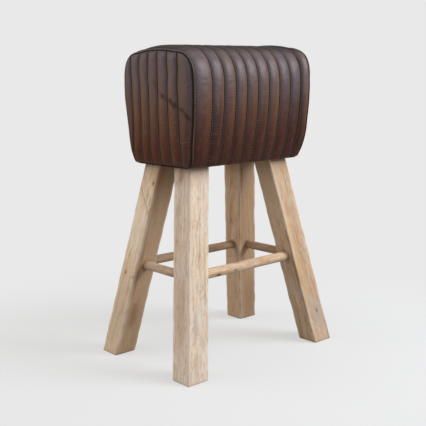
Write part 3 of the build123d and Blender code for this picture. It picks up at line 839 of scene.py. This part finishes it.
def leather(name):
    """Waxed brown leather: strips of different reds and greys, with pores, fine creases across
    and a soft shine. Painted shade darkens the seams, the end panels' rims, the old fold, the
    crown and the low parts, painted light lies on the strips' flanks, and a painted highlight
    on the shoulders."""
    finish = Finish(name)
    place = finish.place("strip")
    _, along, number = finish.split(place)
    spot = finish.place()
    level = finish.split(spot)[2]
    from_seam, from_rim = finish.value("from_seam"), finish.value("from_rim")
    own = finish.noise(place, (0, 1.4, 3.71), 1)
    streak = finish.noise(place, (40, 7.5, 2.9), 3, 0.6, 0.5)
    patch = finish.noise(spot, (11, 11, 5.0), 3, 0.6, 0.3)
    tone = finish.noise(place, (52, 4.2, 5.13), 3, 0.55, 0.5)
    scuff = finish.noise(place, (45, 900, 3.3), 2, 0.5)
    rub = finish.noise(place, (260, 90, 7.7), 3, 0.65)
    grain = finish.noise(spot, (420, 420, 420), 2, 0.6)
    crease = finish.noise(place, (70, 330, 9.1), 3, 0.55, 0.8)
    fold = finish.noise(place, (24, 95, 4.7), 2, 0.5, 0.6)
    pores = finish.add("TexVoronoi", {"Vector": spot, "Scale": 620.0}).outputs["Distance"]
    on_end = finish.step(number, *band_to_end)
    finish.start(finish.step(own, 0.36, 0.64), (98, 65, 45), (64, 43, 36))
    finish.tint(tone, 0.44, 0.60, 0.0, 0.75, (108, 78, 54))
    finish.tint(streak, 0.50, 0.66, 0.0, 0.80, (96, 48, 31))
    finish.tint(patch, 0.50, 0.68, 0.0, 0.62, (62, 47, 44))
    finish.tint(number, *band_to_end, 0.0, 0.54, (144, 92, 58))
    ragged = finish.sum("MULTIPLY_ADD", finish.sum("SUBTRACT", tone, 0.5), 1.2,
                        finish.value("across"))
    # Painted light: a cool grey-violet on one flank of each strip, less of it low down.
    painted_cool_flank_light = finish.times(finish.step(ragged, 0.10, 0.70, 0.58, 0.0),
                              finish.step(level, 0.51, 0.66, 0.25, 1.0))
    finish.paint(painted_cool_flank_light, (84, 79, 88))
    # Painted light: a warm tan on the other flank, mostly on the end panels.
    painted_warm_flank_light = finish.times(finish.step(ragged, 0.46, 0.78),
                             finish.step(number, *band_to_end, 0.35, 0.80))
    finish.paint(painted_warm_flank_light, (128, 86, 52))
    # A painted highlight: violet-grey on the shoulders, none on the crown.
    painted_shoulder_highlight = finish.times(finish.step(level, 0.60, 0.71, 0.0, 0.62),
                         finish.step(patch, 0.30, 0.62, 0.6, 1.0))
    painted_shoulder_highlight = finish.times(painted_shoulder_highlight, finish.step(level, 0.742, 0.762, 1.0, 0.0))
    finish.paint(painted_shoulder_highlight, (106, 97, 104))
    # Painted shade: the crown is painted almost black.
    finish.tint(level, 0.740, 0.762, 0.0, 0.96, (27, 19, 16))
    # Painted shade: grey-violet on the end panels near their rim.
    finish.tint(from_rim, 0.004, 0.030, 0.55, 0.0, (78, 72, 82))
    # Painted shade: low down the leather is darker and redder, where it turns under.
    low_shade_brown = finish.mix(on_end, srgb(62, 16, 0), srgb(88, 40, 14))
    finish.colour = finish.mix(finish.step(level, 0.50, 0.67, 0.90, 0.0), finish.colour, low_shade_brown)
    widest = finish.times(finish.step(number, band_to_end[0], left_numbers - 1.0),
                          finish.step(number, left_numbers + 0.2, left_numbers + 0.8, 0.30, 0.0))
    finish.paint(widest, (74, 62, 58))
    scuffed = finish.times(finish.step(scuff, 0.60, 0.72, 0.0, 0.5), finish.step(patch, 0.42, 0.60))
    finish.paint(scuffed, (134, 112, 96))
    rubbed = finish.times(finish.step(rub, 0.52, 0.75, 0.0, 0.4),
                          finish.step(from_seam, 0.004, 0.014))
    finish.paint(rubbed, (124, 94, 72))
    finish.tint(grain, 0.40, 0.62, 0.0, 0.28, (48, 33, 28))
    # Painted shade in the seam grooves.
    finish.tint(from_seam, 0.0010, 0.0065, 0.35, 0.0, (40, 27, 22))
    stitch = finish.sum("SINE", finish.times(along, 2 * pi / thread_pitch))
    pucker = finish.times(stitch, finish.step(from_seam, 0.0002, 0.0045, 1.0, 0.0))
    by_seam = finish.step(from_seam, 0.0016, 0.0036, 1.0, 0.0)
    finish.paint(finish.times(finish.step(stitch, 0.0, -0.7), by_seam), (146, 130, 120))
    notch = finish.times(finish.step(stitch, 0.1, 0.8), by_seam)
    finish.paint(finish.times(notch, 0.8), (22, 15, 13))
    # Painted shade: near black right at the seams.
    finish.tint(from_seam, 0.0003, 0.0016, 0.95, 0.0, (20, 13, 11))
    # Painted shadow of the piping: a dark band just inside the rim.
    finish.tint(from_rim, 0.0025, 0.0060, 0.85, 0.0, (26, 18, 18))
    height = finish.sum("MULTIPLY_ADD", crease, 0.55, finish.times(fold, 0.8))
    height = finish.sum("MULTIPLY_ADD", pores, 0.10, height)
    jitter = finish.add("TexNoise", {"Vector": spot, "Scale": 60.0}).outputs["Color"]
    ragged_spot = finish.add("VectorMath", {0: jitter, 1: (0.008,) * 3, 2: spot},
                             operation="MULTIPLY_ADD").outputs[0]
    ragged_spot = finish.vector("SUBTRACT", ragged_spot, (0.004,) * 3)
    # Painted shade along the old fold's crease, which the bump also sinks.
    for start, stop, depth in zip(old_fold, old_fold[1:], fold_depths):
        away = finish.from_line(ragged_spot, start, stop)
        finish.tint(away, 0.0014, 0.0092, 0.9 * depth, 0.0, (54, 27, 14))
        height = finish.sum("SUBTRACT", height, finish.step(away, 0.0006, 0.0034, 1.2 * depth, 0.0))
    height = finish.sum("MULTIPLY_ADD", pucker, 0.5, height)
    return finish.done(finish.step(rub, 0.3, 0.7, 0.34, 0.44), (height, 0.0007, 0.7), 0.21)


strip_leather = leather("waxed_leather")
strips = [("band_channel_%02d" % (number + 1), *band_grid(number)) for number in range(band_count)]

# End panels
# Seven upright strips of the same leather at each end, stuffed to a low dome and sewn into
# the band along a thin piping. The strip next to the front seam is the widest.
panel_count = 7
panel_seams = seams_between(end_depth, first=0.0570, last=0.0340, count=panel_count)
panel_length = 0.27
panel_columns, panel_rows = 14, 92
panel_edge, panel_groove, panel_crest, panel_dome = 0.0014, 0.0062, 0.0100, 0.0116
panel_edge_run, panel_round_run = 0.007, 0.036
panel_uneven = 0.0035
side_low, side_high = 0.1035, 0.1215       # how far out the outer strips' own edges start and end
rim_run, rim_inset = 0.004, (0.0018, 0.0010)   # close to its rim a panel is this much smaller
groove_run, uneven_run = 0.012, 0.016      # grooves and unevenness grow over this far from it
panel_back = 0.0006
hem_end, hem_thick = 0.1660, 0.0014        # the hems run this far in under the board
gather_depth, gather_pitch = 0.0009, 0.0085   # a few wrinkles low on the left end's widest strip
rim_steps = 360


class Rim:
    """The seam line that an end panel is sewn to, and what is needed to measure from it."""

    def __init__(self, sign):
        self.arcs = outline(sign * seam_half)
        self.points = [on_outline(self.arcs, step / rim_steps) for step in range(rim_steps + 1)]
        self.tree = kdtree.KDTree(len(self.points))
        for index, (y, z, *_) in enumerate(self.points):
            self.tree.insert((y, z, 0.0), index)
        self.tree.balance()

    def level(self, y, top):
        """Its height at y, on its top or on its underside."""
        if not top and abs(y) <= hem_line:
            return seat_low
        found = []
        for (ya, za, *_), (yb, zb, *_) in zip(self.points, self.points[1:]):
            if min(ya, yb) <= y <= max(ya, yb) and ya != yb:
                found.append(za + (zb - za) * (y - ya) / (yb - ya))
        return max(found) if top else min(found)

    def share(self, y, z):
        """How far round it, front hem to back hem, its point nearest to y, z is."""
        return self.tree.find((y, z, 0.0))[1] / rim_steps

    def between(self, first, last):
        """The run of it between its points nearest to two places, as a function of 0 to 1."""
        start, stop = self.share(*first), self.share(*last)
        return lambda t: on_outline(self.arcs, start + (stop - start) * t)[:2]

    def inside(self, y, z):
        """How far in from it y, z is, and its nearest point."""
        _, index, reach = self.tree.find((y, z, 0.0))
        if abs(y) < hem_line:
            reach = min(reach, max(0.0, z - seat_low))
        return reach, self.points[index]


sides = (("left", -1), ("right", 1))
rims = {sign: Rim(sign) for _, sign in sides}


def panel_cap(inside):
    """How far the padding lets a panel stand out, at a distance in from its rim."""
    near = 1.0 - (1.0 - min(1.0, inside / panel_edge_run)) ** 2
    far = min(1.0, max(0.0, (inside - panel_edge_run) / (panel_round_run - panel_edge_run)))
    return (panel_edge + (panel_groove - panel_edge) * near
            + (panel_dome - panel_groove) * (1.0 - (1.0 - far) ** 2))


def panel_lift(inside, u):
    """How far a panel's leather stands out, u of the way across a strip."""
    cap = panel_cap(inside)
    sunk = groove_depth * (1.0 - bulge(u, 5.0)) * min(1.0, inside / groove_run)
    low, high = min(cap, panel_groove), min(cap, panel_crest)
    return low + (high - low) * bulge(u, 2.0) - sunk


def panel_edges(rim, number):
    """The four edges of a strip's place in the end plane, each a function of 0 to 1."""
    def upright(y):
        bottom, top = rim.level(y, False), rim.level(y, True)
        return lambda t: (y, bottom + (top - bottom) * t)

    def round_side(sign):
        return rim.between((sign * side_low, seat_low + 0.004),
                           (sign * side_high, widest_level + 0.050))

    left = round_side(-1) if number == 0 else upright(panel_seams[number])
    right = round_side(1) if number == panel_count - 1 else upright(panel_seams[number + 1])
    first, last = left(0.0), right(0.0)

    def bottom(t):
        y = first[0] + (last[0] - first[0]) * t
        return y, rim.level(y, False) if abs(y) < end_base else first[1] + (last[1] - first[1]) * t

    return left, right, bottom, rim.between(left(1.0), right(1.0))


def gathers(y, z, u):
    """The wrinkles low on the left end's widest strip."""
    share = eased(z, 0.522, 0.536) * (1.0 - eased(z, 0.552, 0.570)) * eased(u, 0.02, 0.14)
    share *= 1.0 - eased(u, 0.45, 0.75)
    return gather_depth * share * sin(2 * pi * (z + 0.10 * (y + 0.115)) / gather_pitch)


def panel_grid(side, number):
    """One strip of an end panel as an open sheet over its share of the end plane, with what
    band_grid gives as well."""
    rim = rims[side]
    left, right, bottom, top = panel_edges(rim, number)
    width = panel_seams[number + 1] - panel_seams[number]
    strip_number = float((left_numbers if side < 0 else right_numbers) + number)
    bm = bmesh.new()
    bmesh.ops.create_grid(bm, x_segments=panel_columns, y_segments=panel_rows, size=0.5)
    backs, marks = [], []
    ends = [left(0.0), right(0.0), left(1.0), right(1.0)]
    for v in bm.verts:
        u, t = v.co.x + 0.5, v.co.y + 0.5
        # The place is filled in evenly from its four edges.
        a, b, c, d = left(t), right(t), bottom(u), top(u)
        y, z = (
            (1 - u) * a[i] + u * b[i] + (1 - t) * c[i] + t * d[i]
            - (1 - u) * (1 - t) * ends[0][i] - u * (1 - t) * ends[1][i]
            - (1 - u) * t * ends[2][i] - u * t * ends[3][i]
            for i in (0, 1))
        inside, (_, _, out_y, out_z) = rim.inside(y, z)
        uneven = strip_uneven(20 + number + side, u, t * 0.4)
        grow = min(1.0, inside / uneven_run)
        lift = panel_lift(inside, u) + panel_uneven * (uneven - 1.0) * bulge(u) * grow
        lift += creases(30 + number, u, t * 0.35) * grow
        if side < 0 and number == 0:
            lift += gathers(y, z, u)
        v.co = Vector((side * (seam_half + lift), y, z))
        if inside < rim_run:
            inset = rim_inset[0] - rim_inset[1] * grow
            v.co.y -= out_y * inset * (1.0 - inside / rim_run)
            v.co.z -= out_z * inset * (1.0 - inside / rim_run)
        if u == 0.0 and number > 0:
            v.co.y += seam_gap
        elif u == 1.0 and number < panel_count - 1:
            v.co.y -= seam_gap
        back = settled(Vector((side * (seam_half - panel_back), v.co.y, v.co.z)))
        if abs(v.co.y) < hem_line and t < 1.5 / panel_rows:
            back.z = seat_low + hem_thick
            back.x = side * hem_end if t < 0.5 / panel_rows else back.x
        backs.append(back)
        marks.append((u * width, t * panel_length, strip_number, u, min(u, 1.0 - u) * width, inside))
    for v in bm.verts:
        v.co = settled(v.co)
    return bm, backs, marks


for side, sign in sides:
    for number in range(panel_count):
        strips.append(("%s_channel_%d" % (side, number + 1), *panel_grid(sign, number)))

# Stuffing of the strips
# The leather is cut a little longer than its seams, sewn, then pushed out by the filling, so
# it rounds and puckers. All open strips are blown up together, held along their seams.
stuffing_pressure = 4.0
stuffing_frames = 20
spare_leather = 0.012
most_moved = 0.0018
stuffing_share = 0.55


def stuffed_places():
    """Where the vertices of all open strips, in order, go when they are stuffed."""
    joined = bmesh.new()
    for node, bm, *_ in strips:
        sheet = bpy.data.meshes.new(node)
        bm.to_mesh(sheet)
        joined.from_mesh(sheet)
        bpy.data.meshes.remove(sheet)
    mesh = bpy.data.meshes.new("open_strips")
    joined.to_mesh(mesh)
    sheets = new_piece("open_strips", mesh)
    held = sheets.vertex_groups.new(name="seams")
    held.add([v.index for v in joined.verts if v.is_boundary], 1.0, "REPLACE")
    joined.free()
    cloth = sheets.modifiers.new("stuffing", "CLOTH")
    settings = cloth.settings
    settings.vertex_group_mass = "seams"
    settings.mass = 0.25
    settings.quality = 5
    settings.tension_stiffness = settings.compression_stiffness = 22.0
    settings.shear_stiffness = 8.0
    settings.bending_stiffness = 1.2
    settings.air_damping = 2.0
    settings.use_pressure = True
    settings.uniform_pressure_force = stuffing_pressure
    settings.shrink_min = settings.shrink_max = -spare_leather
    settings.effector_weights.gravity = 0.0
    cloth.collision_settings.use_collision = False
    cloth.point_cache.frame_start, cloth.point_cache.frame_end = 1, stuffing_frames
    for number in range(1, stuffing_frames + 1):
        scene.frame_set(number)
    shaped = sheets.evaluated_get(bpy.context.evaluated_depsgraph_get()).data
    places = [v.co.copy() for v in shaped.vertices]
    scene.frame_set(1)
    bpy.data.objects.remove(sheets)
    return places


for node, bm, *_ in strips:
    bm.verts.ensure_lookup_table()
    bm.faces.ensure_lookup_table()
    bm.normal_update()
    middle = bm.faces[len(bm.faces) // 2 + strip_columns // 2]
    outwards = middle.calc_center_median() - Vector((0.0, 0.0, widest_level))
    if node.startswith("band"):
        outwards.x = 0.0
    if middle.normal.dot(outwards) < 0.0:
        bmesh.ops.reverse_faces(bm, faces=bm.faces[:])
places = iter(stuffed_places())
for node, bm, *_ in strips:
    for v in bm.verts:
        moved = (next(places) - v.co) * stuffing_share
        moved -= v.normal * min(0.0, moved.dot(v.normal))
        v.co += moved * min(1.0, most_moved / max(moved.length, 1e-9))

for node, bm, backs, marks in strips:
    close_strip(bm, backs)
    mesh = finished(bm, node)
    both = marks + marks               # the leather and its lining have the same values
    mark(mesh, "strip", [values[:3] for values in both])
    for place, name in enumerate(("across", "from_seam", "from_rim")):
        mark(mesh, name, [values[3 + place] for values in both])
    strip = new_piece(node + "_leather", mesh, strip_leather)
    rounder = strip.modifiers.new("rounder", "SUBSURF")
    rounder.levels = rounder.render_levels = 1
    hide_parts(node)
    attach(strip, "root")

# Foam
# Five blocks of upholstery foam glued round the box, with softened edges, which fill the
# leather cover.
foam_finish = Finish("upholstery_foam")
foam_place = foam_finish.place()
cells = foam_finish.add("TexVoronoi", {"Vector": foam_place, "Scale": 900.0}).outputs["Distance"]
foam_cloud = foam_finish.noise(foam_place, (25, 25, 25), 2)
foam_finish.start(foam_finish.step(foam_cloud, 0.3, 0.7), (226, 208, 158), (204, 180, 126))
foam_material = foam_finish.done(0.92, (cells, 0.0004, 0.8))
foam_shrink = 0.0006
foam_voxel = 0.005
foam_give = 0.012                  # foam this near to the box stays where it is glued
box_high = Vector((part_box("end_board_right")[1].x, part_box("side_board_back")[1].y,
                   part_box("top_board")[1].z))


def as_mesh(piece):
    """The mesh of a piece with its modifiers applied."""
    bpy.context.view_layer.update()
    return bpy.data.meshes.new_from_object(
        piece.evaluated_get(bpy.context.evaluated_depsgraph_get()))


for side in ("top", "front", "back", "left", "right"):
    node = "foam_" + side
    bm = bmesh.new()
    bm.from_mesh(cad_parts[node].data)
    bmesh.ops.remove_doubles(bm, verts=bm.verts[:], dist=0.00001)
    block = new_piece(node + "_block", finished(bm, node), foam_material)
    remesh = block.modifiers.new("even_faces", "REMESH")
    remesh.mode = "VOXEL"
    remesh.voxel_size = foam_voxel
    soften = block.modifiers.new("soft_edges", "SMOOTH")
    soften.factor, soften.iterations = 0.5, 3
    block.data = shaped = as_mesh(block)
    block.modifiers.clear()
    for vertex, normal in zip(shaped.vertices, [v.normal.copy() for v in shaped.vertices]):
        free = max(eased(abs(part) if axis < 2 else part, box_high[axis], box_high[axis] + foam_give)
                   for axis, part in enumerate(vertex.co))
        vertex.co = vertex.co.lerp(settled(vertex.co), free) - normal * foam_shrink
    smooth(shaped)
    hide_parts(node)
    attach(block, "root")

# Piping
# A thin cord in a folded strip of leather, sewn between the band and each end panel. Its
# crest is rubbed to a lighter tan.
piping_radius = 0.0016
piping_offset = 0.0009
piping_steps = 150
piping_first, piping_run = 0.020, 0.960        # its ends are hidden under the board
piping_end_share, piping_taper_share = 0.35, 0.03
piping_finish = Finish("piping_leather")
piping_place = piping_finish.place()
piping_rub = piping_finish.noise(piping_place, (90, 90, 90), 3, 0.6)
piping_pores = piping_finish.add("TexVoronoi", {"Vector": piping_place, "Scale": 700.0})
piping_worn = piping_finish.times(piping_finish.step(piping_finish.value("crest"), 0.80, 0.98),
                                  piping_finish.step(piping_rub, 0.34, 0.58, 0.3, 0.9))
piping_finish.start(piping_worn, (54, 35, 27), (128, 98, 74))
piping_leather = piping_finish.done(0.42, (piping_pores.outputs["Distance"], 0.0003, 0.5))
for side, sign in sides:
    curve = bpy.data.curves.new("piping_" + side, "CURVE")
    curve.dimensions = "3D"
    curve.bevel_depth = piping_radius
    curve.bevel_resolution = 3
    curve.use_fill_caps = True
    line = curve.splines.new("POLY")
    line.points.add(piping_steps)
    for step, point in enumerate(line.points):
        y, z, *_ = on_outline(rims[sign].arcs, piping_first + piping_run * step / piping_steps)
        point.co = (*settled(Vector((sign * (seam_half + piping_offset), y, z))), 1.0)
        from_end = min(step, piping_steps - step) / piping_steps
        point.radius = (piping_end_share
                        + (1.0 - piping_end_share) * eased(from_end, 0.0, piping_taper_share))
    drawn = new_piece("piping_" + side + "_curve", curve)
    mesh = as_mesh(drawn)
    bpy.data.objects.remove(drawn)
    smooth(mesh)
    mesh.materials.clear()
    crest = []
    for vertex in mesh.vertices:
        _, (_, _, out_y, out_z) = rims[sign].inside(vertex.co.y, vertex.co.z)
        crest.append(max(0.0, vertex.normal.dot(Vector((sign, out_y, out_z)).normalized())))
    mark(mesh, "crest", crest)
    piping = new_piece("piping_" + side + "_welt", mesh, piping_leather)
    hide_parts("piping_" + side)
    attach(piping, "root")

# Stitches
# Brown waxed thread along every seam between two strips. Each stitch is a short thread that
# dips into the groove of the seam at both ends.
stitch_rise = 0.35                 # this share of the groove's depth is below the thread
thread_finish = Finish("seam_thread")
thread_twist = thread_finish.noise(thread_finish.place(), (1800, 1800, 1800), 1)
thread_finish.start(thread_twist, (66, 46, 36), (38, 26, 22))
thread_material = thread_finish.done(0.5)
bm = bmesh.new()
bmesh.ops.create_uvsphere(bm, u_segments=6, v_segments=4, radius=1.0)
bmesh.ops.scale(bm, verts=bm.verts[:], vec=(thread_radius, thread_radius, thread_length / 2))
one_stitch = finished(bm, "one_stitch")


def add_stitch(bm, place, along, outwards):
    """One stitch at a place on the seam."""
    side = along.cross(outwards).normalized()
    turn = (Matrix.Translation(settled(place))
            @ Matrix((side, outwards, along)).transposed().to_4x4())
    one_stitch.transform(turn)
    bm.from_mesh(one_stitch)
    one_stitch.transform(turn.inverted())


bm = bmesh.new()
steps = int(band_length / thread_pitch)
sunk = -groove_depth * (1.0 - stitch_rise)
for number in range(1, band_count):
    arcs = outline(band_seams[number])
    for step in range(4, steps - 3):
        share = step / steps
        y, z, out_y, out_z = on_outline(arcs, share)
        add_stitch(bm, Vector((seam_place(number, share), y + out_y * sunk, z + out_z * sunk)),
                   Vector((0.0, out_z, -out_y)), Vector((0.0, out_y, out_z)))
stitches = new_piece("band_stitches", finished(bm, "band_stitches"), thread_material)
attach(stitches, "root")
for side, sign in sides:
    bm = bmesh.new()
    for y in panel_seams[1:-1]:
        bottom, top = rims[sign].level(y, False), rims[sign].level(y, True)
        steps = int((top - bottom) / thread_pitch)
        for step in range(3, steps - 2):
            z = bottom + (top - bottom) * step / steps
            lift = panel_lift(rims[sign].inside(y, z)[0], 0.0) + groove_depth * stitch_rise
            add_stitch(bm, Vector((sign * (seam_half + lift), y, z)),
                       Vector((0.0, 0.0, 1.0)), Vector((sign, 0.0, 0.0)))
    stitches = new_piece(side + "_stitches", finished(bm, side + "_stitches"), thread_material)
    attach(stitches, "root")

# Dust cover
# Black woven cloth, cut out round the four legs, pulled flat under the seat and tacked to
# the base board over the leather's hems.
cover_low, cover_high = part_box("dust_cover")
cover_size = cover_high - cover_low
cover_middle = (cover_low + cover_high) / 2
cover_gap = 0.0015
cover_cells = (120, 66)
cover_ruck, cover_sag, cover_slack_run = 0.0006, 0.0004, 0.03
hole_half = (leg_across / 2 + cover_gap, leg_deep / 2 + cover_gap)
cover_finish = Finish("cover_cloth")
cover_place = cover_finish.place()
warp, weft = (
    cover_finish.add("TexWave", {"Vector": cover_place, "Scale": 420.0}, bands_direction=axis)
    for axis in ("X", "Y"))
weave = cover_finish.times(warp.outputs["Fac"], weft.outputs["Fac"])
cover_finish.start(weave, (28, 27, 27), (46, 44, 43))
bm = bmesh.new()
bmesh.ops.create_grid(bm, x_segments=cover_cells[0], y_segments=cover_cells[1], size=0.5)
bmesh.ops.scale(bm, verts=bm.verts[:], vec=(cover_size.x, cover_size.y, 1.0))
bmesh.ops.translate(bm, verts=bm.verts[:], vec=(cover_middle.x, cover_middle.y, cover_low.z))
for name in corners:
    _, top = leg_line(name)
    for axis in (0, 1):
        for sign in (-1, 1):
            cut = Vector((0.0, 0.0, 0.0))
            cut[axis] = 1.0
            spot = Vector((top.x, top.y, cover_low.z))
            spot[axis] += sign * hole_half[axis]
            bmesh.ops.bisect_plane(bm, geom=bm.verts[:] + bm.edges[:] + bm.faces[:], dist=1e-7,
                                   plane_co=spot, plane_no=cut)
    hole = [f for f in bm.faces
            if all(abs(f.calc_center_median()[axis] - top[axis]) < hole_half[axis] for axis in (0, 1))]
    bmesh.ops.delete(bm, geom=hole, context="FACES")
for v in bm.verts:
    edge = min(v.co.x - cover_low.x, cover_high.x - v.co.x, v.co.y - cover_low.y,
               cover_high.y - v.co.y)
    slack = max(0.0, min(1.0, edge / cover_slack_run))
    ruck = noise.noise(Vector((v.co.x * 22, v.co.y * 22, 0.0)))
    v.co.z += slack * (cover_ruck * ruck) - slack * cover_sag
cover = new_piece("dust_cover_cloth", finished(bm, "dust_cover_cloth"),
                  cover_finish.done(0.9, (weave, 0.0002, 0.6)))
cloth_wall = cover.modifiers.new("cloth_wall", "SOLIDIFY")
cloth_wall.thickness = cover_size.z * 0.8   # the cloth lies a little loose in its place
cloth_wall.offset = 0.0
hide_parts("dust_cover")
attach(cover, "root")
